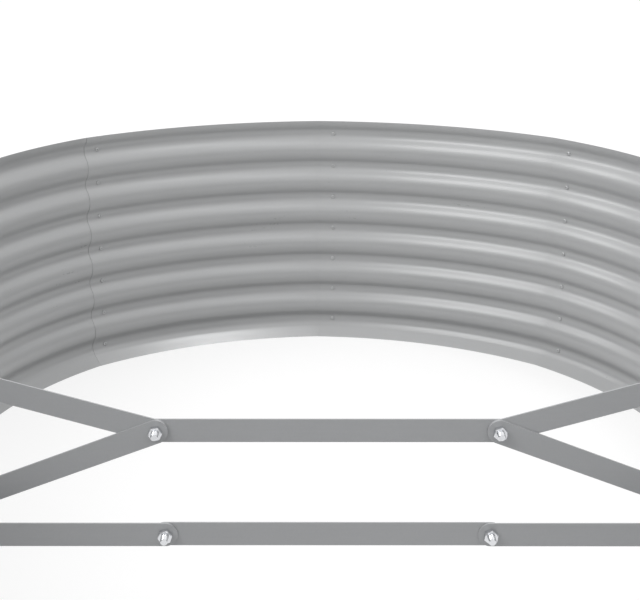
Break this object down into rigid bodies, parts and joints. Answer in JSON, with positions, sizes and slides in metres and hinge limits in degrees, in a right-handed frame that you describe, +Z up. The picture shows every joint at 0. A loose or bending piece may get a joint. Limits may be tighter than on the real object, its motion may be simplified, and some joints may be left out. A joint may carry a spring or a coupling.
{
  "type": "raised garden bed",
  "caption": "Long oval raised garden bed, open top and bottom: lapped corrugated metal panels bolted at their seams, with flat-strap cross braces at mid-length.",
  "frame": {"origin": "centre of the ground under the bed, on the plane of the wall's bottom edge", "axes": "+Y along the bed's long axis, away from the camera; +X across it, to the camera's right; +Z up"},
  "size_m": [1.0184, 1.7928, 0.36],
  "materials": {
    "wall_sheet": "satin zinc-aluminium coated sheet",
    "brace_strap": "matte galvanised strap",
    "fasteners": "bright zinc plated"
  },
  "bodies": {
    "root": {"rear_end_panel_1": "wall_sheet", "rear_end_panel_2": "wall_sheet", "rear_end_panel_3": "wall_sheet", "rear_end_panel_4": "wall_sheet", "front_end_panel_1": "wall_sheet", "front_end_panel_2": "wall_sheet", "front_end_panel_3": "wall_sheet", "front_end_panel_4": "wall_sheet", "right_side_panel_1": "wall_sheet", "right_side_panel_2": "wall_sheet", "left_side_panel_1": "wall_sheet", "left_side_panel_2": "wall_sheet", "upper_brace_centre_bar": "brace_strap", "lower_brace_centre_bar": "brace_strap", "upper_brace_left_high_arm": "brace_strap", "upper_brace_left_low_arm": "brace_strap", "upper_brace_right_high_arm": "brace_strap", "upper_brace_right_low_arm": "brace_strap", "lower_brace_left_bar": "brace_strap", "lower_brace_right_bar": "brace_strap", "brace_wall_bolts": "fasteners", "brace_wall_nuts": "fasteners", "brace_joint_bolts": "fasteners", "brace_joint_nuts": "fasteners"}
  },
  "joints": []
}
